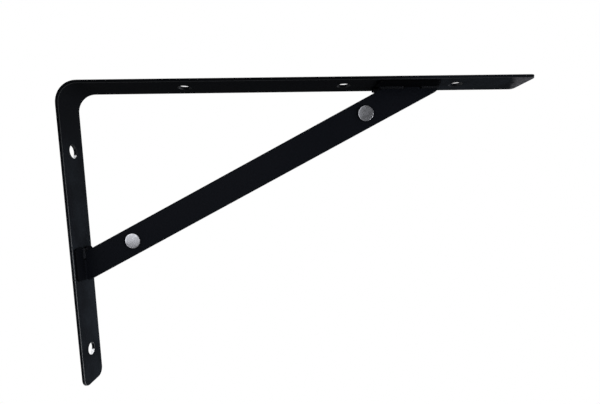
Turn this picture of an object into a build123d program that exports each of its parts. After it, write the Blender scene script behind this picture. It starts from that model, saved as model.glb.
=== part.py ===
from build123d import *
import math
import os

# A shelf bracket folded from flat steel strip.
# One strip is bent into a right angle: one arm lies on the wall, the other carries the shelf.
# A diagonal brace of two pressed plates, back to back, ties the arms together.
# Each plate ends in two feet, turned outwards and welded flat to the insides of the arms.
# Two rivets clamp the pair of plates.
# Frame: X runs out from the wall, Y across the strip, Z up.
# The origin lies on the wall face, half way between the two wall screws.

# Angle strip
shelf_arm = 300.0  # wall face to the tip
wall_arm = 200.0  # shelf face to the lower end
strip_width = 25.0
strip_thickness = 2.0
bend_radius = 12.0  # inside of the corner bend
tip_radius = 3.0  # corners of the shelf arm's tip, seen square on
lower_end_radius = 6.0  # corners of the wall arm's lower end, seen square on
edge_round = 0.4  # worn-in arris along the strip

# Plain screw holes
hole_diameter = 8.5
shelf_hole_rear = 77.0  # from the wall face
shelf_hole_pitch = 103.5  # rear hole to middle hole
shelf_hole_tip_inset = 45.5  # front hole, back from the tip
wall_hole_top = 41.0  # down from the shelf face
wall_hole_end_inset = 24.0  # lower hole, up from the lower end

# Brace plates
brace_width = 18.0
plate_thickness = 1.5
brace_reach = 230.0  # centreline on the inside of the shelf arm, from the wall face
brace_drop = 118.5  # centreline on the inside of the wall arm, down from the shelf face
plate_corner_radius = 1.0

# Feet
foot_reach = 11.0  # from the middle of the strip to the foot's outer edge
foot_bend_radius = 1.0  # inside of the bend
foot_corner_radius = 2.5
shelf_foot_length = 40.0
shelf_foot_setback = 4.0  # the foot sits this far towards the corner of the bracket
shelf_neck_length = 10.0  # bent part between the two relief slots
wall_foot_length = 22.0
wall_foot_setback = 2.0  # the foot sits this far towards the corner of the bracket
wall_neck_length = 13.5  # bent part below the relief slot

# Rivets
rivet_inset = 39.5  # along the centreline from each end of the brace
rivet_shank_diameter = 5.0
rivet_head_diameter = 10.0
rivet_head_height = 1.1
rivet_head_rim = 0.5  # straight side of the head under its dome
rivet_tail_diameter = 8.6
rivet_tail_height = 1.8
rivet_rim_bevel = 0.3

# Heights of the main faces
wall_hole_low = wall_arm - wall_hole_end_inset
shelf_z = (wall_hole_top + wall_hole_low) / 2
under_z = shelf_z - strip_thickness
bottom_z = shelf_z - wall_arm

# The brace's centreline, between the insides of the arms
wall_point = Vector(strip_thickness, shelf_z - brace_drop)
shelf_point = Vector(brace_reach, under_z)
brace_angle = math.degrees(math.atan2(shelf_point.Y - wall_point.Y, shelf_point.X - wall_point.X))
brace_along = Vector(math.cos(math.radians(brace_angle)), math.sin(math.radians(brace_angle)))
brace_across = Vector(-brace_along.Y, brace_along.X)

# The outside of a foot's bend sets how far the plate's end edge stays from the arm
foot_bend_outer = foot_bend_radius + plate_thickness
plate_wall_x = strip_thickness + foot_bend_outer
plate_shelf_z = under_z - foot_bend_outer


def screw_hole(face: Plane) -> Part:
    """Cutter for one screw hole, square through the given face."""
    return face * Cylinder(hole_diameter / 2, 3 * strip_thickness)


def make_strip() -> Part:
    """The folded strip, with rounded ends and its screw holes."""
    corner = (0, shelf_z)
    inner_corner = (strip_thickness, under_z)
    outline = Polyline(
        corner,
        (shelf_arm, shelf_z),
        (shelf_arm, under_z),
        inner_corner,
        (strip_thickness, bottom_z),
        (0, bottom_z),
        close=True,
    )
    section = make_face(outline)
    section = fillet(section.vertices().sort_by_distance(corner)[0], bend_radius + strip_thickness)
    section = fillet(section.vertices().sort_by_distance(inner_corner)[0], bend_radius)
    strip = extrude(Plane.XZ * section, strip_width / 2, both=True)
    strip = fillet(strip.edges().filter_by(Axis.Z).group_by(Axis.X)[-1], tip_radius)
    strip = fillet(strip.edges().filter_by(Axis.X).group_by(Axis.Z)[0], lower_end_radius)
    broad_face_rims = strip.edges().filter_by(Axis.X).sort_by(SortBy.LENGTH)[-4:]
    strip = fillet(broad_face_rims, edge_round)
    for x in (shelf_hole_rear, shelf_hole_rear + shelf_hole_pitch, shelf_arm - shelf_hole_tip_inset):
        strip -= screw_hole(Plane(origin=(x, 0, under_z), x_dir=(1, 0, 0), z_dir=(0, 0, -1)))
    for drop in (wall_hole_top, wall_hole_low):
        strip -= screw_hole(Plane(origin=(strip_thickness, 0, shelf_z - drop), x_dir=(0, 0, 1), z_dir=(1, 0, 0)))
    return strip


def brace_line_at(offset: float, x: float | None = None, z: float | None = None) -> tuple[float, float]:
    """Point on a line beside the brace's centreline, found from its X or its Z."""
    start = wall_point + brace_across * offset
    if x is not None:
        step = (x - start.X) / brace_along.X
    else:
        step = (z - start.Y) / brace_along.Y
    spot = start + brace_along * step
    return (spot.X, spot.Y)


def make_foot(arm_face: Plane, middle: float, length: float, neck_start: float, neck_length: float) -> Part:
    """One welded foot with its bent neck; X of arm_face runs along the arm, Z away from it."""
    bend_centre = (foot_bend_outer, foot_bend_outer)
    outside = CenterArc(bend_centre, foot_bend_outer, 180, 90)
    inside = CenterArc(bend_centre, foot_bend_radius, 180, 90)
    ring = make_face([outside, inside, Line(outside @ 0, inside @ 0), Line(outside @ 1, inside @ 1)])
    neck = extrude(Plane.YZ.offset(neck_start) * ring, neck_length)
    width = foot_reach - foot_bend_outer
    pad = Pos(middle, foot_bend_outer + width / 2) * Rectangle(length, width)
    pad = fillet(pad.vertices().group_by(Axis.Y)[-1], foot_corner_radius)
    return arm_face * (neck + extrude(pad, plate_thickness))


def rivet_places() -> list[tuple[float, float]]:
    """Centres of the lower and the upper rivet in the plane of the brace."""
    low = wall_point + brace_along * rivet_inset
    high = shelf_point - brace_along * rivet_inset
    return [(low.X, low.Y), (high.X, high.Y)]


def make_left_plate() -> Part:
    """The brace plate on the -Y side of the bracket's middle plane, with both its feet."""
    half = brace_width / 2
    corners = [
        brace_line_at(half, x=plate_wall_x),
        brace_line_at(-half, x=plate_wall_x),
        brace_line_at(-half, z=plate_shelf_z),
        brace_line_at(half, z=plate_shelf_z),
    ]
    blank = make_face(Polyline(*corners, close=True))
    for corner in corners:
        blank = fillet(blank.vertices().sort_by_distance(corner)[0], plate_corner_radius)
    for place in rivet_places():
        blank -= Pos(*place) * Circle(rivet_shank_diameter / 2)
    plate = extrude(Plane.XZ * blank, plate_thickness)

    shelf_middle = brace_line_at(0, z=plate_shelf_z)[0]
    shelf_face = Plane(origin=(0, 0, under_z), x_dir=(1, 0, 0), z_dir=(0, 0, -1))
    plate += make_foot(
        shelf_face,
        shelf_middle - shelf_foot_setback,
        shelf_foot_length,
        shelf_middle - shelf_neck_length / 2,
        shelf_neck_length,
    )
    wall_middle = brace_line_at(0, x=plate_wall_x)[1] + wall_foot_setback
    wall_face = Plane(origin=(strip_thickness, 0, 0), x_dir=(0, 0, 1), z_dir=(1, 0, 0))
    plate += make_foot(
        wall_face,
        wall_middle,
        wall_foot_length,
        wall_middle - wall_foot_length / 2,
        wall_neck_length,
    )
    return plate


def head(diameter: float, rim: float, height: float) -> Part:
    """Domed rivet head standing on the XY plane."""
    radius = diameter / 2
    rise = height - rim
    dome = RadiusArc((radius, rim), (0, height), -(radius**2 + rise**2) / (2 * rise))
    profile = make_face([Polyline((0, height), (0, 0), (radius, 0), (radius, rim)), dome])
    profile = chamfer(profile.vertices().sort_by_distance((radius, rim))[0], rivet_rim_bevel)
    return revolve(Plane.XZ * profile, Axis.Z)


def make_rivet(place: tuple[float, float]) -> Part:
    """A rivet through both plates, its made head on the -Y side and its closed tail on the +Y side."""
    shank = Cylinder(rivet_shank_diameter / 2, 2 * plate_thickness)
    made_head = Pos(0, 0, plate_thickness) * head(rivet_head_diameter, rivet_head_rim, rivet_head_height)
    tail = head(rivet_tail_diameter, rivet_tail_height / 2, rivet_tail_height)
    closed_tail = Pos(0, 0, -plate_thickness) * Rot(180, 0, 0) * tail
    axis_frame = Plane(origin=(place[0], 0, place[1]), x_dir=(1, 0, 0), z_dir=(0, -1, 0))
    return axis_frame * (shank + made_head + closed_tail)


def main() -> None:
    """Build every piece and write one file for each."""
    os.makedirs("parts", exist_ok=True)
    left_plate = make_left_plate()
    lower, upper = rivet_places()
    pieces = {
        "angle_strip": make_strip(),
        "brace_plate_left": left_plate,
        "brace_plate_right": mirror(left_plate, Plane.XZ),
        "lower_rivet": make_rivet(lower),
        "upper_rivet": make_rivet(upper),
    }
    for name, solid in pieces.items():
        export_step(solid, f"parts/{name}.step")


if __name__ == "__main__":
    main()
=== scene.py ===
"""Dresses a black steel shelf bracket and sets it in a white studio."""

import logging
import math
import random
from dataclasses import dataclass, field, replace
from enum import Enum

import bmesh
import bpy
from mathutils import Euler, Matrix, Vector

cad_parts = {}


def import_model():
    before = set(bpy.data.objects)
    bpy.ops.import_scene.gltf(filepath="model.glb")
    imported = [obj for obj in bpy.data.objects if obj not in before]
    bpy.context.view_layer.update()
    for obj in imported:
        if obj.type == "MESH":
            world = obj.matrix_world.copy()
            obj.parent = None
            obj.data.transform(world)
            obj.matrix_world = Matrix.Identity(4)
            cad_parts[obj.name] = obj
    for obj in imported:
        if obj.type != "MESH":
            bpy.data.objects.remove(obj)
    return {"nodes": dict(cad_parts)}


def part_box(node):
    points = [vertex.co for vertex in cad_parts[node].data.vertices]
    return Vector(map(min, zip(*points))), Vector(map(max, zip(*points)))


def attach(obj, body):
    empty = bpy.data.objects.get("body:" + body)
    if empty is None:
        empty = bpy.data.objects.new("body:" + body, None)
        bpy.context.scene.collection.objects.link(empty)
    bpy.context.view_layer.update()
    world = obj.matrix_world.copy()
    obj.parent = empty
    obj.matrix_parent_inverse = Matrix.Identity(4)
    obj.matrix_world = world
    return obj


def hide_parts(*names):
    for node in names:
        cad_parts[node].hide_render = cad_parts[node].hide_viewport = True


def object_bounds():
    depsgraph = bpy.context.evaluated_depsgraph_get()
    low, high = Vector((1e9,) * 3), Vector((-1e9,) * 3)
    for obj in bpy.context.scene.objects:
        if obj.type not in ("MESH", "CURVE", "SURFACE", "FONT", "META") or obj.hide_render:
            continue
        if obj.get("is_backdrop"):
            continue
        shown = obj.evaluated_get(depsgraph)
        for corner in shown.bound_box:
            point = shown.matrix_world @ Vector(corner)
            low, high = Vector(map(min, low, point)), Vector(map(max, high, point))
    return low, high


MM: float = 0.001
Colour = tuple[float, float, float]
Point = tuple[float, float]
Socket = bpy.types.NodeSocket
log = logging.getLogger("shelf_bracket")


class Piece(Enum):
    """The bracket's pieces, by the names of their nodes."""

    STRIP = "angle_strip"
    LEFT_PLATE = "brace_plate_left"
    RIGHT_PLATE = "brace_plate_right"
    LOWER_RIVET = "lower_rivet"
    UPPER_RIVET = "upper_rivet"


class Side(Enum):
    """The two sides of the bracket's middle plane, as directions along Y."""

    LEFT = -1.0
    RIGHT = 1.0


class Sum(Enum):
    """The sums that shader values are combined by."""

    ADD = "ADD"
    SUBTRACT = "SUBTRACT"
    MULTIPLY = "MULTIPLY"
    MAXIMUM = "MAXIMUM"
    ABSOLUTE = "ABSOLUTE"
    SQRT = "SQRT"


@dataclass(frozen=True)
class Grain:
    """The scale of a noise field.

    Attributes:
        cell: Size of one blotch, in metres.
        detail: Number of finer octaves.
        roughness: Strength of the finer octaves.
    """

    cell: float
    detail: float
    roughness: float


@dataclass(frozen=True)
class Ease:
    """A smooth change from one value to another.

    Attributes:
        low: Where the change begins.
        high: Where it is complete.
        first: Value up to its beginning.
        last: Value from its end on.
    """

    low: float
    high: float
    first: float = 0.0
    last: float = 1.0


class NodeBench:
    """Lays out and links the shader nodes of one tree.

    Attributes:
        spacing: Distance from one node to the next.
        bevel_samples: Samples by which an arris is found.
    """

    spacing: int = 200
    bevel_samples: int = 8

    def __init__(self, tree: bpy.types.NodeTree) -> None:
        """Takes a shader tree and empties it."""
        self.tree = tree
        self.tree.nodes.clear()

    def add(self, kind: str, **settings: object) -> bpy.types.Node:
        """Adds a node.

        Args:
            kind: The node's type name.
            **settings: Properties of the node to set.

        Returns:
            The new node.
        """
        node = self.tree.nodes.new(kind)
        node.location = (self.spacing * len(self.tree.nodes), 0)
        for name, value in settings.items():
            setattr(node, name, value)
        return node

    def link(self, source: Socket, target: Socket) -> None:
        """Joins an output to an input."""
        self.tree.links.new(source, target)

    def feed(self, target: Socket, value: Socket | float | Colour) -> None:
        """Gives an input a link, a number or a colour.

        Args:
            target: The input.
            value: What it takes.
        """
        if isinstance(value, bpy.types.NodeSocket):
            self.link(value, target)
        elif isinstance(value, tuple) and target.type == "RGBA":
            target.default_value = (*value, 1.0)
        else:
            target.default_value = value

    def noise(self, coords: Socket, grain: Grain) -> Socket:
        """Adds a noise field.

        Args:
            coords: Where the field is read, in metres.
            grain: Its scale.

        Returns:
            The field's value, from 0 to 1.
        """
        node = self.add("ShaderNodeTexNoise")
        node.inputs["Scale"].default_value = 1.0 / grain.cell
        node.inputs["Detail"].default_value = grain.detail
        node.inputs["Roughness"].default_value = grain.roughness
        self.link(coords, node.inputs["Vector"])
        return node.outputs["Fac"]

    def ramp(self, value: Socket, ease: Ease) -> Socket:
        """Maps a value by a smooth change.

        Args:
            value: What is mapped.
            ease: The change.

        Returns:
            The mapped value.
        """
        node = self.add("ShaderNodeMapRange", interpolation_type="SMOOTHSTEP")
        node.inputs["From Min"].default_value = ease.low
        node.inputs["From Max"].default_value = ease.high
        node.inputs["To Min"].default_value = ease.first
        node.inputs["To Max"].default_value = ease.last
        self.link(value, node.inputs["Value"])
        return node.outputs["Result"]

    def sum(self, operation: Sum, first: Socket | float, second: Socket | float = 0.0) -> Socket:
        """Combines two values.

        Args:
            operation: How they are combined.
            first: Left value.
            second: Right value, where the sum has one.

        Returns:
            The result.
        """
        node = self.add("ShaderNodeMath", operation=operation.value)
        self.feed(node.inputs[0], first)
        self.feed(node.inputs[1], second)
        return node.outputs["Value"]

    def blend(self, factor: Socket, first: Socket | Colour, second: Socket | Colour) -> Socket:
        """Mixes two colours.

        Args:
            factor: Share of the second colour.
            first: First colour.
            second: Second colour.

        Returns:
            The mixed colour.
        """
        node = self.add("ShaderNodeMix", data_type="RGBA")
        self.link(factor, node.inputs["Factor"])
        for name, colour in (("A", first), ("B", second)):
            sockets = [socket for socket in node.inputs if socket.name == name]
            self.feed(next(socket for socket in sockets if socket.type == "RGBA"), colour)
        return next(socket for socket in node.outputs if socket.type == "RGBA")

    def axes(self, vector: Socket) -> dict[str, Socket]:
        """Splits a vector.

        Args:
            vector: What is split.

        Returns:
            Its parts by axis name.
        """
        split = self.add("ShaderNodeSeparateXYZ")
        self.link(vector, split.inputs["Vector"])
        return {name: split.outputs[name] for name in "XYZ"}

    def facing(self) -> dict[str, Socket]:
        """Tells which way the surface faces, axis by axis."""
        return self.axes(self.add("ShaderNodeNewGeometry").outputs["Normal"])

    def arrises(self, radius: float) -> tuple[Socket, Socket]:
        """Finds the piece's arrises.

        Args:
            radius: Width of an arris in metres.

        Returns:
            The rounded surface normal, and how much it turns: 0 on flats, more at arrises.
        """
        bevel = self.add("ShaderNodeBevel", samples=self.bevel_samples)
        bevel.inputs["Radius"].default_value = radius
        flat = self.add("ShaderNodeNewGeometry")
        dot = self.add("ShaderNodeVectorMath", operation="DOT_PRODUCT")
        self.link(bevel.outputs["Normal"], dot.inputs[0])
        self.link(flat.outputs["Normal"], dot.inputs[1])
        return bevel.outputs["Normal"], self.sum(Sum.SUBTRACT, 1.0, dot.outputs["Value"])

    def relief(self, height: Socket, depth: float, normal: Socket) -> Socket:
        """Raises a surface.

        Args:
            height: Shape of the relief, from 0 to 1.
            depth: Its full height in metres.
            normal: The surface's own normal.

        Returns:
            The normal of the raised surface.
        """
        bump = self.add("ShaderNodeBump")
        bump.inputs["Strength"].default_value = 1.0
        bump.inputs["Distance"].default_value = depth
        self.link(height, bump.inputs["Height"])
        self.link(normal, bump.inputs["Normal"])
        return bump.outputs["Normal"]

    def surface(self, shader: bpy.types.Node) -> None:
        """Makes a shader the tree's result."""
        output = self.add("ShaderNodeOutputMaterial")
        self.link(shader.outputs[0], output.inputs["Surface"])


def new_finish(name: str) -> tuple[bpy.types.Material, NodeBench]:
    """Starts a material.

    Args:
        name: Its name.

    Returns:
        The material and the bench of its empty tree.
    """
    material = bpy.data.materials.new(name)
    material.use_nodes = True
    return material, NodeBench(material.node_tree)


def put(name: str, data: bpy.types.ID) -> bpy.types.Object:
    """Puts a new object in the scene.

    Args:
        name: Its name.
        data: Its mesh, light or camera.

    Returns:
        The object.
    """
    thing = bpy.data.objects.new(name, data)
    bpy.context.scene.collection.objects.link(thing)
    return thing


@dataclass(frozen=True)
class Skin:
    """A coating that is laid on and waits for its last marks.

    Attributes:
        material: The material.
        bench: Its tree.
        shader: Its shader.
        coords: Object coordinates.
        dusting: Where dust lies on it, from 0 to 1.
        rubbing_and_highlight: Where its coating is abraded, which also carries painted arris
            highlight, from 0 to 1.
    """

    material: bpy.types.Material
    bench: NodeBench
    shader: bpy.types.Node
    coords: Socket
    dusting: Socket
    rubbing_and_highlight: Socket


@dataclass(frozen=True)
class BlackCoating:
    """Satin black coating baked on steel, abraded along its arrises, where its lighter colour is
    also painted highlight.

    Attributes:
        pigment: Colour of the coating.
        dust: Colour of the faint dust on it.
        rubbed_and_highlight: Colour of the abraded coating, which also serves as painted highlight
            on the arrises.
        gloss: Share of the surface that shines.
        gloss_roughness: Softness of the shine.
        dulled: Share of the shine that dust leaves.
        arris: Width of a rounded arris, in metres.
        clouds: Scale of the clouds of dust.
        film: Dust by cloud.
        speckle: Scale of the specks in it.
        grit: Dust by speck.
        turned: Abrasion and painted arris highlight by how far the surface turns.
        rub_marks: Scale of the patches in the abrasion and painted arris highlight.
        patchy: Abrasion and painted arris highlight by patch.
        matt: Roughness of the pigment by cloud.
        peel: Scale of the ripples in the coating's skin.
        peel_depth: Height of those ripples, in metres.
    """

    pigment: Colour = (0.0042, 0.0045, 0.0054)
    dust: Colour = (0.0150, 0.0179, 0.0226)
    # The abraded colour also serves as painted highlight on the arrises.
    rubbed_and_highlight: Colour = (0.135, 0.139, 0.147)
    gloss: float = 0.008
    gloss_roughness: float = 0.28
    dulled: float = 0.4
    arris: float = 0.7 * MM
    clouds: Grain = Grain(28.0 * MM, 4.0, 0.55)
    film: Ease = Ease(0.3, 0.65, 0.35, 1.0)
    speckle: Grain = Grain(0.9 * MM, 2.0, 0.6)
    grit: Ease = Ease(0.45, 0.75, 0.6, 1.0)
    turned: Ease = Ease(0.01, 0.12)
    rub_marks: Grain = Grain(6.0 * MM, 3.0, 0.6)
    patchy: Ease = Ease(0.35, 0.65, 0.35, 1.0)
    matt: Ease = Ease(0.3, 0.7, 0.46, 0.62)
    peel: Grain = Grain(1.6 * MM, 1.5, 0.45)
    peel_depth: float = 0.02 * MM

    def lay(self, name: str) -> Skin:
        """Lays the coating with its dust and its relief.

        Args:
            name: Material's name.

        Returns:
            The coating, ready for its last marks.
        """
        material, bench = new_finish(name)
        coords = bench.add("ShaderNodeTexCoord").outputs["Object"]
        shader = bench.add("ShaderNodeBsdfPrincipled")
        shader.inputs["Specular IOR Level"].default_value = 0.0
        shader.inputs["Coat Weight"].default_value = self.gloss
        shader.inputs["Coat Roughness"].default_value = self.gloss_roughness

        rounded, turn = bench.arrises(self.arris)
        clouds = bench.noise(coords, self.clouds)
        speckle = bench.noise(coords, self.speckle)
        dusting = bench.sum(
            Sum.MULTIPLY, bench.ramp(clouds, self.film), bench.ramp(speckle, self.grit)
        )
        patchy = bench.ramp(bench.noise(coords, self.rub_marks), self.patchy)
        # Abrasion at the arrises, which also paints highlight along them.
        rubbing_and_highlight = bench.sum(Sum.MULTIPLY, bench.ramp(turn, self.turned), patchy)
        bench.link(bench.ramp(clouds, self.matt), shader.inputs["Roughness"])

        relief = bench.relief(bench.noise(coords, self.peel), self.peel_depth, rounded)
        bench.link(relief, shader.inputs["Normal"])
        bench.link(relief, shader.inputs["Coat Normal"])
        bench.surface(shader)
        return Skin(material, bench, shader, coords, dusting, rubbing_and_highlight)

    def tint(self, skin: Skin, dustiness: Socket | float, wear_and_highlight: Socket | float) -> Socket:
        """Colours a coating that is laid on.

        Args:
            skin: The coating.
            dustiness: Share of its dust that stays.
            wear_and_highlight: Share of its abrasion and painted arris highlight that shows.

        Returns:
            The colour.
        """
        bench = skin.bench
        dusty = bench.sum(Sum.MULTIPLY, skin.dusting, dustiness)
        # The abraded colour, partly painted arris highlight, goes over the pigment and dust.
        worn_and_lit = bench.sum(Sum.MULTIPLY, skin.rubbing_and_highlight, wear_and_highlight)
        return bench.blend(worn_and_lit, bench.blend(dusty, self.pigment, self.dust), self.rubbed_and_highlight)

    def shine(self, skin: Skin, share: Socket) -> None:
        """Gives a coating that is laid on its gloss, less where dust dulls it.

        Args:
            skin: The coating.
            share: Share of the surface that shines where it is clean.
        """
        bench = skin.bench
        clean = bench.ramp(skin.dusting, Ease(0.0, 1.0, 1.0, self.dulled))
        bench.link(bench.sum(Sum.MULTIPLY, share, clean), skin.shader.inputs["Coat Weight"])


@dataclass(frozen=True)
class BareMetal:
    """Plain satin metal, faintly marked by tools, with painted shade on its steep flanks.

    Attributes:
        clean: Colour of the metal.
        dull: Colour of its duller patches.
        hammered: Colour of a tail that was hammered over, on the +Y side.
        flank_shade: Colour of the painted shade on the flanks.
        patches: Scale of the patches.
        dulling: Dullness by patch.
        tail: Share of tail by facing along Y.
        hammering: Share of the hammered colour by patch.
        flank: Painted shade by how squarely the surface faces along Y.
        satin: Roughness by patch.
        tail_matt: Roughness that the tail adds.
        flank_matt: Roughness added on the flanks with the painted shade.
        marks: Scale of the tools' marks.
        mark_depth: Depth of the marks, in metres.
        arris: Width of a rounded arris, in metres.
    """

    clean: Colour = (0.77, 0.785, 0.845)
    dull: Colour = (0.63, 0.643, 0.695)
    hammered: Colour = (0.40, 0.41, 0.44)
    # Painted shade on the steep flanks.
    flank_shade: Colour = (0.055, 0.056, 0.060)
    patches: Grain = Grain(3.0 * MM, 3.0, 0.6)
    dulling: Ease = Ease(0.4, 0.7)
    tail: Ease = Ease(0.0, 0.2)
    hammering: Ease = Ease(0.3, 0.7, 0.8, 1.0)
    flank: Ease = Ease(0.70, 0.97, 1.0, 0.0)
    satin: Ease = Ease(0.3, 0.7, 0.2, 0.3)
    tail_matt: float = 0.15
    flank_matt: float = 0.3
    marks: Grain = Grain(0.5 * MM, 2.0, 0.6)
    mark_depth: float = 0.006 * MM
    arris: float = 0.25 * MM

    def make(self, name: str) -> bpy.types.Material:
        """Builds the finish.

        Args:
            name: Material's name.

        Returns:
            The finished material.
        """
        material, bench = new_finish(name)
        coords = bench.add("ShaderNodeTexCoord").outputs["Object"]
        shader = bench.add("ShaderNodeBsdfPrincipled")
        shader.inputs["Metallic"].default_value = 1.0
        patch = bench.noise(coords, self.patches)
        sideways = bench.facing()["Y"]
        tail = bench.ramp(sideways, self.tail)
        flank = bench.ramp(bench.sum(Sum.ABSOLUTE, sideways), self.flank)

        colour = bench.blend(bench.ramp(patch, self.dulling), self.clean, self.dull)
        hammered = bench.sum(Sum.MULTIPLY, tail, bench.ramp(patch, self.hammering))
        colour = bench.blend(hammered, colour, self.hammered)
        # The flanks take the painted shade.
        bench.link(bench.blend(flank, colour, self.flank_shade), shader.inputs["Base Color"])

        on_tail = bench.sum(Sum.MULTIPLY, tail, self.tail_matt)
        on_flank = bench.sum(Sum.MULTIPLY, flank, self.flank_matt)
        satin = bench.sum(Sum.ADD, bench.ramp(patch, self.satin), on_tail)
        bench.link(bench.sum(Sum.ADD, satin, on_flank), shader.inputs["Roughness"])

        rounded, _ = bench.arrises(self.arris)
        marks = bench.relief(bench.noise(coords, self.marks), self.mark_depth, rounded)
        bench.link(marks, shader.inputs["Normal"])
        bench.surface(shader)
        return material


def dress(nodes: dict[str, bpy.types.Object], piece: Piece, finish: bpy.types.Material) -> None:
    """Puts one finish on a piece of the frame.

    Args:
        nodes: The bracket's objects, by node name.
        piece: Which piece.
        finish: Its material.
    """
    thing = nodes[piece.value]
    if not thing.material_slots:
        thing.data.materials.append(finish)
    for slot in thing.material_slots:
        slot.material = finish
    log.info("%s: %s", piece.value, finish.name)


def add_piece(name: str, shape: bmesh.types.BMesh, finish: bpy.types.Material) -> bpy.types.Object:
    """Adds a smooth piece to the scene.

    Args:
        name: The piece's name.
        shape: Its shape, which is used up.
        finish: Its material.

    Returns:
        The piece.
    """
    bmesh.ops.recalc_face_normals(shape, faces=shape.faces)
    mesh = bpy.data.meshes.new(name)
    shape.to_mesh(mesh)
    shape.free()
    mesh.polygons.foreach_set("use_smooth", [True] * len(mesh.polygons))
    mesh.materials.append(finish)
    return put(name, mesh)


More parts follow.
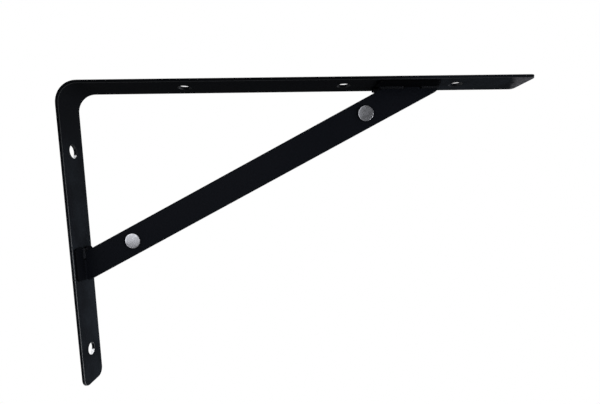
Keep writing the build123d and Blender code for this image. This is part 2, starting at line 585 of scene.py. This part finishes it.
@dataclass
class AngleStrip:
    """The folded strip, with painted arris highlight along its abraded wall arm and a painted
    highlight under its tip.

    Attributes:
        half_width: Half the strip's width, in metres.
        edge_starts: Share of a long edge's round by facing along Y, where the round begins.
        edge_ends: The same where it goes over into the flat edge.
        upward: Share of the outside by facing along Z.
        rearward: Share of the outside by facing along X.
        off_near_edge: Share of the outside by facing along Y, which leaves the near edge out.
        far_edge: Share of the far edge by facing along Y.
        outer_gloss: Share of the outside that shines, where the coating went on wet.
        wear_and_highlight_by_height: Share of the abrasion and painted arris highlight by height,
            most at the wall arm's low end.
        wall_dust_and_corner_shade: Share of the dust by height, which also paints the wall arm
            lighter low down, as painted shade towards the inner corner.
        shelf_dust_and_corner_shade: Share of the dust along X, which also paints the shelf arm
            lighter towards its tip, as painted shade towards the inner corner.
        dusty_top: Share of the dust by facing along Z.
        tip_highlight: Share of the painted highlight along X, at the near edge of the tip.
        tip_highlight_slant: How far the painted highlight draws back towards the tip for each
            metre across the strip.
        ragged: Scale of the painted highlight's ragged border.
        raggedness: How far the border moves by that noise, in metres.
        underside: Share of the underside by facing along Z.
        highlight_streaks: Scale of the streaks in the painted highlight.
        streaked: Share of the painted highlight by streak.
        painted_tip_highlight: Colour of the painted highlight under the tip.
        hole_floor: Share of a hole's lower wall by facing along Z.
        hole_height: Share of bare metal by height, which leaves the shelf arm out.
        bare_marks: Scale of the patches in the bare metal.
        bare_patchy: Share of bare metal by patch.
        bare: Colour of the bare metal.
        coating: The strip's coating.
    """

    half_width: float = 12.5 * MM
    edge_starts: Ease = Ease(0.1, 0.4)
    edge_ends: Ease = Ease(0.75, 0.97, 1.0, 0.0)
    upward: Ease = Ease(0.2, 0.6)
    rearward: Ease = Ease(-0.6, -0.2, 1.0, 0.0)
    off_near_edge: Ease = Ease(-0.5, -0.1)
    far_edge: Ease = Ease(0.2, 0.6)
    outer_gloss: float = 0.45
    # Abrasion and painted arris highlight, strongest at the wall arm's low end.
    wear_and_highlight_by_height: Ease = Ease(-10.0 * MM, 95.0 * MM, 1.0, 0.2)
    # Dust shares that also paint the coating darker towards the inner corner, as painted shade.
    wall_dust_and_corner_shade: Ease = Ease(35.0 * MM, 90.0 * MM, 1.0, 0.15)
    shelf_dust_and_corner_shade: Ease = Ease(195.0 * MM, 250.0 * MM, 0.15, 1.3)
    dusty_top: Ease = Ease(0.6, 0.9, 0.0, 0.9)
    # Painted highlight under the tip's near corner, with its border and streaks.
    tip_highlight: Ease = Ease(284.5 * MM, 288.5 * MM)
    tip_highlight_slant: float = 0.5
    ragged: Grain = Grain(3.0 * MM, 3.0, 0.6)
    raggedness: Ease = Ease(0.3, 0.7, -1.3 * MM, 1.3 * MM)
    underside: Ease = Ease(-0.95, -0.6, 1.0, 0.0)
    highlight_streaks: Grain = Grain(2.2 * MM, 4.0, 0.65)
    streaked: Ease = Ease(0.3, 0.6, 0.5, 1.0)
    painted_tip_highlight: Colour = (0.084, 0.084, 0.092)
    hole_floor: Ease = Ease(0.3, 0.6)
    hole_height: Ease = Ease(80.0 * MM, 85.0 * MM, 1.0, 0.0)
    bare_marks: Grain = Grain(1.2 * MM, 3.0, 0.6)
    bare_patchy: Ease = Ease(0.3, 0.6, 0.6, 1.0)
    bare: Colour = (0.85, 0.86, 0.88)
    coating: BlackCoating = field(default_factory=BlackCoating)

    def rounded_edges(self, bench: NodeBench, facing: dict[str, Socket]) -> Socket:
        """Finds the rounds along the strip's long edges.

        Args:
            bench: Tree to work in.
            facing: Which way the surface faces.

        Returns:
            1 on a round, otherwise 0.
        """
        sideways = bench.sum(Sum.ABSOLUTE, facing["Y"])
        starts, ends = bench.ramp(sideways, self.edge_starts), bench.ramp(sideways, self.edge_ends)
        return bench.sum(Sum.MULTIPLY, starts, ends)

    def outside(self, bench: NodeBench, facing: dict[str, Socket]) -> Socket:
        """Finds the outside of the angle and its far edge.

        Args:
            bench: Tree to work in.
            facing: Which way the surface faces.

        Returns:
            1 on the outside, otherwise 0.
        """
        upward = bench.ramp(facing["Z"], self.upward)
        rearward = bench.ramp(facing["X"], self.rearward)
        off_near_edge = bench.ramp(facing["Y"], self.off_near_edge)
        broad = bench.sum(Sum.MULTIPLY, bench.sum(Sum.MAXIMUM, upward, rearward), off_near_edge)
        return bench.sum(Sum.MAXIMUM, broad, bench.ramp(facing["Y"], self.far_edge))

    def tip_highlight_mask(self, skin: Skin, axes: dict[str, Socket], facing: dict[str, Socket]) -> Socket:
        """Finds the painted highlight under the tip's near corner.

        Args:
            skin: The coating.
            axes: Object coordinates by axis name.
            facing: Which way the surface faces.

        Returns:
            How much of the coating carries the painted highlight, from 0 to 1.
        """
        bench = skin.bench
        from_edge = bench.sum(Sum.ADD, axes["Y"], self.half_width)
        drawn_back = bench.sum(Sum.MULTIPLY, from_edge, self.tip_highlight_slant)
        ragged = bench.ramp(bench.noise(skin.coords, self.ragged), self.raggedness)
        along = bench.sum(Sum.ADD, bench.sum(Sum.SUBTRACT, axes["X"], drawn_back), ragged)
        tip = bench.ramp(along, self.tip_highlight)
        below = bench.ramp(facing["Z"], self.underside)
        highlight_streaks = bench.ramp(bench.noise(skin.coords, self.highlight_streaks), self.streaked)
        return bench.sum(Sum.MULTIPLY, bench.sum(Sum.MULTIPLY, tip, below), highlight_streaks)

    def hole_mask(self, skin: Skin, axes: dict[str, Socket], facing: dict[str, Socket]) -> Socket:
        """Finds the lower walls of the wall's screw holes, which are made bare metal.

        Args:
            skin: The coating.
            axes: Object coordinates by axis name.
            facing: Which way the surface faces.

        Returns:
            How bare the metal is, from 0 to 1.
        """
        bench = skin.bench
        upward = bench.ramp(facing["Z"], self.hole_floor)
        low = bench.ramp(axes["Z"], self.hole_height)
        patchy = bench.ramp(bench.noise(skin.coords, self.bare_marks), self.bare_patchy)
        return bench.sum(Sum.MULTIPLY, bench.sum(Sum.MULTIPLY, upward, low), patchy)

    def make_finish(self) -> bpy.types.Material:
        """Builds the strip's finish.

        Returns:
            The finished material.
        """
        skin = self.coating.lay("strip_coating")
        bench = skin.bench
        axes, facing = bench.axes(skin.coords), bench.facing()
        # The long edges' rounds join the abrasion, as painted highlight along them.
        rubbing_and_highlight = bench.sum(Sum.MAXIMUM, skin.rubbing_and_highlight, self.rounded_edges(bench, facing))
        skin = replace(skin, rubbing_and_highlight=rubbing_and_highlight)
        # Abrasion and painted arris highlight by height.
        wear_and_highlight = bench.ramp(axes["Z"], self.wear_and_highlight_by_height)
        # Dust that also paints the arms lighter away from the inner corner, as painted shade
        # towards it.
        low_dust_and_light = bench.ramp(axes["Z"], self.wall_dust_and_corner_shade)
        far_dust_and_light = bench.ramp(axes["X"], self.shelf_dust_and_corner_shade)
        top_dust = bench.ramp(facing["Z"], self.dusty_top)
        # This dust share carries the painted corner shade too.
        dustiness = bench.sum(Sum.MAXIMUM, bench.sum(Sum.MAXIMUM, low_dust_and_light, far_dust_and_light), top_dust)
        colour = self.coating.tint(skin, dustiness, wear_and_highlight)
        wet = Ease(0.0, 1.0, self.coating.gloss, self.outer_gloss)
        self.coating.shine(skin, bench.ramp(self.outside(bench, facing), wet))
        # Painted highlight under the tip.
        colour = bench.blend(self.tip_highlight_mask(skin, axes, facing), colour, self.painted_tip_highlight)
        bare = self.hole_mask(skin, axes, facing)
        bench.link(bench.blend(bare, colour, self.bare), skin.shader.inputs["Base Color"])
        bench.link(bare, skin.shader.inputs["Metallic"])
        return skin.material

    def build(self, nodes: dict[str, bpy.types.Object]) -> None:
        """Dresses the strip."""
        dress(nodes, Piece.STRIP, self.make_finish())


@dataclass
class Brace:
    """The two plates of the diagonal brace, with painted shade on their feet.

    Attributes:
        shelf_foot: Height from which the plates are foot, in metres.
        wall_foot: Distance from the wall up to which they are foot, in metres.
        fade: Width of the change to the dark feet, in metres.
        feet_shade: Colour of the painted shade on the feet.
        wall_feet_shade: Share of the painted shade that the wall feet get.
        dustiness: Share of the dust that the plates keep.
        wear_and_highlight: Share of the abrasion and painted arris highlight that they show.
        edge: Facing along Y up to which a face is an edge.
        broad: Facing along Y from which it is a broad face.
        near_gloss: Share of the -Y side that shines.
        far_gloss: Share of the +Y side that shines.
        coating: The plates' coating.
    """

    shelf_foot: float = 104.2 * MM
    wall_foot: float = 4.3 * MM
    fade: float = 0.8 * MM
    # Painted shade on the feet.
    feet_shade: Colour = (0.0022, 0.0024, 0.0032)
    wall_feet_shade: float = 0.85
    dustiness: float = 0.45
    wear_and_highlight: float = 0.10
    edge: float = 0.7
    broad: float = 0.95
    near_gloss: float = 0.08
    far_gloss: float = 0.40
    coating: BlackCoating = BlackCoating(
        pigment=(0.0064, 0.0074, 0.0108), dust=(0.0142, 0.0158, 0.0208)
    )

    def make_finish(self) -> bpy.types.Material:
        """Builds the plates' finish.

        Returns:
            The finished material.
        """
        skin = self.coating.lay("plate_coating")
        bench = skin.bench
        axes = bench.axes(skin.coords)
        rise = Ease(self.shelf_foot, self.shelf_foot + self.fade)
        fall = Ease(self.wall_foot - self.fade, self.wall_foot, self.wall_feet_shade, 0.0)
        feet = bench.sum(Sum.MAXIMUM, bench.ramp(axes["Z"], rise), bench.ramp(axes["X"], fall))

        sideways = bench.facing()["Y"]
        plain = self.coating.gloss
        near = bench.ramp(sideways, Ease(-self.broad, -self.edge, self.near_gloss, plain))
        far = bench.ramp(sideways, Ease(self.edge, self.broad, plain, self.far_gloss))
        self.coating.shine(skin, bench.sum(Sum.MAXIMUM, near, far))

        colour = self.coating.tint(skin, self.dustiness, self.wear_and_highlight)
        # The feet take the painted shade.
        bench.link(bench.blend(feet, colour, self.feet_shade), skin.shader.inputs["Base Color"])
        return skin.material

    def build(self, nodes: dict[str, bpy.types.Object]) -> None:
        """Dresses both plates.

        Args:
            nodes: The bracket's objects, by node name.
        """
        finish = self.make_finish()
        for piece in (Piece.LEFT_PLATE, Piece.RIGHT_PLATE):
            dress(nodes, piece, finish)


@dataclass
class WeldBeads:
    """The short welds in the slots between the plates' ends and their feet.

    Attributes:
        shelf_runs: Where the welds under the shelf arm start and end along X, in metres.
        wall_runs: Where the welds on the wall arm start and end along Z, in metres.
        shelf_level: Height of the shelf welds' middle, in metres.
        wall_level: Distance of the wall welds' middle from the wall, in metres.
        offset: Distance of a weld from the bracket's middle plane, in metres.
        rise: Half a weld's thickness towards the arm, in metres.
        depth: Half its thickness across the bracket, in metres.
        taper: Length over which an end tapers, in metres.
        blunt: What is left of a weld's section at its very end.
        scale: Length of one ripple, in metres.
        ripple: Height of the ripples, as a share of the thickness.
        sway: How far the ripples run ahead and fall behind, in radians.
        sway_ripples: Number of ripples over which they do so.
        jitter: Chance changes of the thickness, as a share of it.
        crescent: How far a ripple bows along the weld, in metres.
        spacing: Distance between two sections, in metres.
        fewest: Fewest steps from end to end.
        corners: Points round one section.
        coating: The welds' coating, lighter than the strip's as painted light on them in their
            shaded slots.
    """

    shelf_runs: tuple[Point, ...] = ((203.5 * MM, 219.6 * MM), (230.6 * MM, 243.2 * MM))
    wall_runs: tuple[Point, ...] = ((-3.8 * MM, 3.4 * MM),)
    shelf_level: float = 105.2 * MM
    wall_level: float = 3.3 * MM
    offset: float = 1.7 * MM
    rise: float = 1.35 * MM
    depth: float = 1.2 * MM
    taper: float = 1.2 * MM
    blunt: float = 0.02
    scale: float = 1.1 * MM
    ripple: float = 0.09
    sway: float = 0.5
    sway_ripples: float = 4.3
    jitter: float = 0.012
    crescent: float = 0.35 * MM
    spacing: float = 0.18 * MM
    fewest: int = 8
    corners: int = 16
    # Colours lighter than the strip's, as painted light on the welds in their shaded slots.
    coating: BlackCoating = BlackCoating(
        pigment=(0.0080, 0.0086, 0.0104),
        dust=(0.0180, 0.0190, 0.0228),
        rubbed_and_highlight=(0.024, 0.025, 0.029),
    )

    def make_shape(self, name: str, start: Vector, end: Vector, rise: Vector) -> bmesh.types.BMesh:
        """Builds the shape of one rippled weld.

        Args:
            name: The weld's name, which settles its chance changes.
            start: One end of its middle line.
            end: The other end.
            rise: Direction towards the arm that it is welded to.

        Returns:
            The weld's shape.
        """
        chance = random.Random(name)
        length = (end - start).length
        along = (end - start).normalized()
        across = along.cross(rise)
        steps = max(self.fewest, round(length / self.spacing))
        shape = bmesh.new()
        rings: list[list[bmesh.types.BMVert]] = []
        drift = chance.uniform(0.0, math.tau)
        for step in range(steps + 1):
            run = length * step / steps
            tapered = max(0.0, 1.0 - min(run, length - run) / self.taper)
            swell = math.sqrt(max(self.blunt, 1.0 - tapered**2))
            wander = math.sin(math.tau * run / (self.sway_ripples * self.scale) + drift)
            phase = math.tau * run / self.scale + drift + self.sway * wander
            change = chance.uniform(-self.jitter, self.jitter)
            size = swell * (1.0 + self.ripple * math.sin(phase) + change)
            ring = []
            for corner in range(self.corners):
                turn = math.tau * corner / self.corners
                bow = self.crescent * swell * math.cos(turn) ** 2
                spot = start + along * (run + bow - self.crescent * swell / 2)
                lift = rise * (self.rise * size * math.cos(turn))
                spot += lift + across * (self.depth * size * math.sin(turn))
                ring.append(shape.verts.new(spot))
            rings.append(ring)
        for near, far in zip(rings[:-1], rings[1:]):
            for corner in range(self.corners):
                after = (corner + 1) % self.corners
                shape.faces.new((near[corner], near[after], far[after], far[corner]))
        shape.faces.new(rings[0][::-1])
        shape.faces.new(rings[-1])
        return shape

    def make_finish(self) -> bpy.types.Material:
        """Builds the welds' finish.

        Returns:
            The finished material.
        """
        # Lighter coating, as painted light in the slots.
        skin = self.coating.lay("weld_coating")
        skin.bench.link(self.coating.tint(skin, 1.0, 1.0), skin.shader.inputs["Base Color"])
        return skin.material

    def runs(self, side: Side) -> list[tuple[Vector, Vector, Vector]]:
        """Lists the welds of one side.

        Args:
            side: Which side.

        Returns:
            Start, end and direction towards the arm, for each weld.
        """
        y = side.value * self.offset
        shelf, wall = self.shelf_level, self.wall_level
        up, back = Vector((0, 0, 1)), Vector((-1, 0, 0))
        under = [(Vector((a, y, shelf)), Vector((b, y, shelf)), up) for a, b in self.shelf_runs]
        beside = [(Vector((wall, y, a)), Vector((wall, y, b)), back) for a, b in self.wall_runs]
        return under + beside

    def build(self, nodes: dict[str, bpy.types.Object]) -> None:
        """Builds and dresses the welds on both sides.

        Args:
            nodes: The bracket's objects, by node name; not used, so the welds leave them as they
                are.
        """
        finish = self.make_finish()
        for side in Side:
            for number, run in enumerate(self.runs(side), 1):
                name = f"weld_{side.name.lower()}_{number}"
                bead = add_piece(name, self.make_shape(name, *run), finish)
                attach(bead, "root")
                log.info("%s: %s", bead.name, finish.name)


@dataclass
class Rivets:
    """The two rivets through the brace, turned with a nearly flat head and a domed tail.

    Attributes:
        grip: Thickness of the two plates between head and tail, in metres.
        shank: Radius of the shank, in metres.
        crown: How far the head's face rises to its middle, in metres.
        rim: Radius of the head's rounded rim, in metres.
        tail: Radius of the tail, in metres.
        tail_side: Height of the tail's straight side, in metres.
        relief: Bevel under the head and the tail, in metres.
        turns: Points round the rivet.
        arc_steps: Steps along one arc of its outline.
        crease: Angle from which an edge stays sharp, in radians.
        metal: Their finish.
    """

    grip: float = 3.0 * MM
    shank: float = 2.5 * MM
    crown: float = 0.10 * MM
    rim: float = 0.30 * MM
    tail: float = 4.3 * MM
    tail_side: float = 0.7 * MM
    relief: float = 0.12 * MM
    turns: int = 96
    arc_steps: int = 8
    crease: float = math.radians(40.0)
    metal: BareMetal = field(default_factory=BareMetal)

    def arc(self, centre: Point, sizes: Point, first: float, last: float) -> list[Point]:
        """Draws a part of an ellipse in the outline.

        Args:
            centre: Its middle, as radius and place along Y.
            sizes: Its half sizes across and along Y.
            first: Angle at which it starts, in degrees.
            last: Angle at which it ends, in degrees.

        Returns:
            Points along it.
        """
        points = []
        for step in range(self.arc_steps + 1):
            angle = math.radians(first + (last - first) * step / self.arc_steps)
            across, along = sizes[0] * math.cos(angle), sizes[1] * math.sin(angle)
            points.append((centre[0] + across, centre[1] + along))
        return points

    def outline(self, radius: float, front: float, back: float) -> list[Point]:
        """Draws half the rivet's section.

        Args:
            radius: Radius of the head.
            front: Where the head's face is along Y.
            back: Where the tail ends along Y.

        Returns:
            Points from the head's middle to the tail's, as radius and place along Y.
        """
        half = self.grip / 2
        flat = radius - self.rim
        shares = [step / self.arc_steps for step in range(self.arc_steps)]
        face = [(flat * share, front + self.crown * share**2) for share in shares]
        rim_middle = (flat, front + self.crown + self.rim)
        rim = self.arc(rim_middle, (self.rim, self.rim), -90.0, 0.0)
        under_head = [(radius, -half - self.relief), (radius - self.relief, -half)]
        stem = [(self.shank, -half), (self.shank, half)]
        under_tail = [(self.tail - self.relief, half), (self.tail, half + self.relief)]
        level = half + self.tail_side
        dome = self.arc((0.0, level), (self.tail, back - level), 0.0, 90.0)
        return face + rim + under_head + stem + under_tail + dome[:-1] + [(0.0, back)]

    def turn(self, piece: Piece) -> bmesh.types.BMesh:
        """Turns one rivet where its node is.

        Args:
            piece: Which rivet.

        Returns:
            The rivet's shape.
        """
        low, high = (Vector(corner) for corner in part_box(piece.value))
        middle = (low + high) / 2
        points = self.outline((high.x - low.x) / 2, low.y, high.y)
        shape = bmesh.new()
        angles = [math.tau * step / self.turns for step in range(self.turns)]
        rings = [[shape.verts.new((middle.x, points[0][1], middle.z))]]
        for radius, y in points[1:-1]:
            spots = [(radius * math.cos(angle), radius * math.sin(angle)) for angle in angles]
            rings.append([shape.verts.new((middle.x + x, y, middle.z + z)) for x, z in spots])
        rings.append([shape.verts.new((middle.x, points[-1][1], middle.z))])
        for near, far in zip(rings[:-1], rings[1:]):
            for step in range(self.turns):
                after = (step + 1) % self.turns
                start = (near[step % len(near)], near[after % len(near)])
                end = (far[after % len(far)], far[step % len(far)])
                # A face at the rivet's axis has one corner there, not two.
                shape.faces.new(tuple(dict.fromkeys(start + end)))
        return shape

    def build(self, nodes: dict[str, bpy.types.Object]) -> None:
        """Turns and dresses both rivets.

        Args:
            nodes: The bracket's objects, by node name; not used, though the turned rivets stand
                for theirs.
        """
        finish = self.metal.make("rivet_finish")
        for piece in (Piece.LOWER_RIVET, Piece.UPPER_RIVET):
            rivet = add_piece(f"turned_{piece.value}", self.turn(piece), finish)
            rivet.data.set_sharp_from_angle(angle=self.crease)
            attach(rivet, "root")
            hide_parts(piece.value)
            log.info("%s: %s", rivet.name, finish.name)


@dataclass(frozen=True)
class Lamp:
    """One soft square lamp.

    Attributes:
        name: Its name.
        place: Where it hangs, from the bracket's middle, in metres.
        side: Side of its face, in metres.
        watts: Its power.
    """

    name: str
    place: tuple[float, float, float]
    side: float
    watts: float

    def hang(self, middle: Vector) -> None:
        """Hangs the lamp so that it faces the bracket.

        Args:
            middle: The bracket's middle.
        """
        light = bpy.data.lights.new(self.name, "AREA")
        light.size = self.side
        light.energy = self.watts
        thing = put(self.name, light)
        thing.location = middle + Vector(self.place)
        thing.rotation_euler = (-Vector(self.place)).to_track_quat("-Z", "Y").to_euler()


@dataclass
class Studio:
    """White studio: a pale floor below the bracket, soft lamps round it and a dim room in front.

    Attributes:
        floor_drop: Floor's depth under the bracket's lower end, in metres.
        floor_size: Side of the floor, in metres.
        floor_matt: How pale the floor is to the light that falls on it.
        floor_glow: Strength of the floor where it is seen.
        shadow_share: Share of the floor under the bracket that takes light and shadow.
        shadow_reach: Distances between which that share fades away, in metres.
        ambient: Strength of the light from all round.
        room: Strength of what metal shows of the dim side of the room.
        bright_side: Sideways and forward parts of the direction to the bright side.
        dim_walls: Where the dim side is dimmest and where it ends, as shares of the bright side's
            direction.
        dim_floor: The same on the floor, as distances towards the bright side, in metres.
        lamps: The lamps.
    """

    floor_drop: float = 0.40
    floor_size: float = 12.0
    floor_matt: float = 0.35
    floor_glow: float = 1.0
    shadow_share: float = 0.25
    shadow_reach: Point = (0.25, 0.65)
    ambient: float = 0.23
    room: float = 0.07
    bright_side: Point = (-0.75, 0.66)
    dim_walls: Point = (-0.74, -0.54)
    dim_floor: Point = (-0.8, 0.4)
    lamps: tuple[Lamp, ...] = (
        Lamp("right", (0.75, -0.08, -0.10), 0.90, 9.5),
        Lamp("front_left", (-1.15, -0.66, 0.35), 1.10, 3.6),
        Lamp("top", (0.10, 0.10, 1.10), 0.90, 9.0),
        Lamp("back", (-0.30, 1.20, 0.50), 1.60, 7.5),
    )

    def seen(self, bench: NodeBench) -> tuple[Socket, Socket]:
        """Tells rays that show the background from rays that carry its light.

        Args:
            bench: Tree to work in.

        Returns:
            1 for camera, glossy and transmission rays, otherwise 0; and 1 for the last two alone.
        """
        rays = bench.add("ShaderNodeLightPath").outputs
        shown = bench.sum(Sum.MAXIMUM, rays["Is Glossy Ray"], rays["Is Transmission Ray"])
        return bench.sum(Sum.MAXIMUM, rays["Is Camera Ray"], shown), shown

    def dimming(
        self, bench: NodeBench, axes: dict[str, Socket], ends: Point, shown: Socket
    ) -> Socket:
        """Gives what metal shows less light from the dim side of the room.

        Args:
            bench: Tree to work in.
            axes: Direction or place in the room.
            ends: Where the dim side is dimmest and where it ends.
            shown: 1 for the rays by which metal shows the room.

        Returns:
            What to add to the strength: 0, or less on the dim side.
        """
        sideways = bench.sum(Sum.MULTIPLY, axes["X"], self.bright_side[0])
        forward = bench.sum(Sum.MULTIPLY, axes["Y"], self.bright_side[1])
        ease = Ease(*ends, self.room - 1.0, 0.0)
        level = bench.ramp(bench.sum(Sum.ADD, sideways, forward), ease)
        return bench.sum(Sum.MULTIPLY, shown, level)

    def make_world(self) -> None:
        """Makes the white surroundings, dim in front."""
        world = bpy.data.worlds.new("studio")
        world.use_nodes = True
        bench = NodeBench(world.node_tree)
        seen, shown = self.seen(bench)
        axes = bench.axes(bench.add("ShaderNodeTexCoord").outputs["Generated"])
        white = bench.ramp(seen, Ease(0.0, 1.0, self.ambient, 1.0))
        background = bench.add("ShaderNodeBackground")
        background.inputs["Color"].default_value = (1.0, 1.0, 1.0, 1.0)
        dimming = self.dimming(bench, axes, self.dim_walls, shown)
        bench.link(bench.sum(Sum.ADD, white, dimming), background.inputs["Strength"])
        output = bench.add("ShaderNodeOutputWorld")
        bench.link(background.outputs["Background"], output.inputs["Surface"])
        bpy.context.scene.world = world

    def make_floor_finish(self) -> bpy.types.Material:
        """Builds the floor's finish, white where it is seen and matt under the bracket.

        Returns:
            The finished material.
        """
        material, bench = new_finish("pale_floor")
        seen, shown = self.seen(bench)
        axes = bench.axes(bench.add("ShaderNodeTexCoord").outputs["Object"])
        squares = [bench.sum(Sum.MULTIPLY, axes[name], axes[name]) for name in "XY"]
        away = bench.sum(Sum.SQRT, bench.sum(Sum.ADD, *squares))
        plain = bench.ramp(away, Ease(*self.shadow_reach, 1.0 - self.shadow_share, 1.0))
        glow = bench.add("ShaderNodeEmission")
        dimming = self.dimming(bench, axes, self.dim_floor, shown)
        bench.link(bench.sum(Sum.ADD, dimming, self.floor_glow), glow.inputs["Strength"])
        matt = bench.add("ShaderNodeBsdfDiffuse")
        bench.feed(matt.inputs["Color"], (self.floor_matt,) * 3)
        mix = bench.add("ShaderNodeMixShader")
        bench.link(bench.sum(Sum.MULTIPLY, seen, plain), mix.inputs["Fac"])
        bench.link(matt.outputs["BSDF"], mix.inputs[1])
        bench.link(glow.outputs["Emission"], mix.inputs[2])
        bench.surface(mix)
        return material

    def make_floor(self, low: Vector) -> None:
        """Lays the pale floor.

        Args:
            low: Lowest corner of the bracket.
        """
        half = self.floor_size / 2
        level = low.z - self.floor_drop
        rim = [(-half, -half), (half, -half), (half, half), (-half, half)]
        mesh = bpy.data.meshes.new("floor")
        mesh.from_pydata([(x, y, level) for x, y in rim], [], [(0, 1, 2, 3)])
        mesh.materials.append(self.make_floor_finish())
        floor = put("floor", mesh)
        floor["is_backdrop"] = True

    def build(self, low: Vector, high: Vector) -> None:
        """Sets up surroundings, floor and lamps.

        Args:
            low: Lowest corner of the bracket.
            high: Highest corner of the bracket.
        """
        self.make_world()
        self.make_floor(low)
        for lamp in self.lamps:
            lamp.hang((low + high) / 2)
        log.info("studio: %d lamps", len(self.lamps))


@dataclass(frozen=True)
class PhotoCamera:
    """Camera at the photograph's viewpoint.

    Attributes:
        place: Position in millimetres.
        angles: Rotation about X, Y and Z in degrees.
        frame_width: Width of the frame, in millimetres.
        lens: Focal length, in millimetres.
        shift: Sideways and upward shift of the frame, as shares of its width.
        nearest: Nearest distance that is seen, in metres.
    """

    place: tuple[float, float, float] = (137.87, -256.71, 29.39)
    angles: tuple[float, float, float] = (82.364, 1.100, -1.378)
    frame_width: float = 36.0
    lens: float = 22.464
    shift: Point = (0.0164, 0.0901)
    nearest: float = 0.01

    def build(self) -> None:
        """Puts the camera in the scene."""
        camera = bpy.data.cameras.new("photo_camera")
        camera.sensor_width = self.frame_width
        camera.lens = self.lens
        camera.shift_x, camera.shift_y = self.shift
        camera.clip_start = self.nearest
        thing = put("photo_camera", camera)
        thing.location = Vector(self.place) * MM
        thing.rotation_euler = Euler([math.radians(angle) for angle in self.angles], "XYZ")
        bpy.context.scene.camera = thing


def plain_box() -> list[list[float]]:
    """Gives the whole object's box as plain numbers."""
    return [[float(number) for number in corner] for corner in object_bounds()]


def main() -> None:
    """Dresses the bracket and sets up its studio."""
    logging.basicConfig(level=logging.INFO, format="%(message)s")
    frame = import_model()
    cad_box = plain_box()
    bpy.context.scene.view_settings.view_transform = "Standard"
    for group in (AngleStrip(), Brace(), WeldBeads(), Rivets()):
        group.build(frame["nodes"])
    Studio().build(Vector(cad_box[0]), Vector(cad_box[1]))
    PhotoCamera().build()


if __name__ == "__main__":
    main()
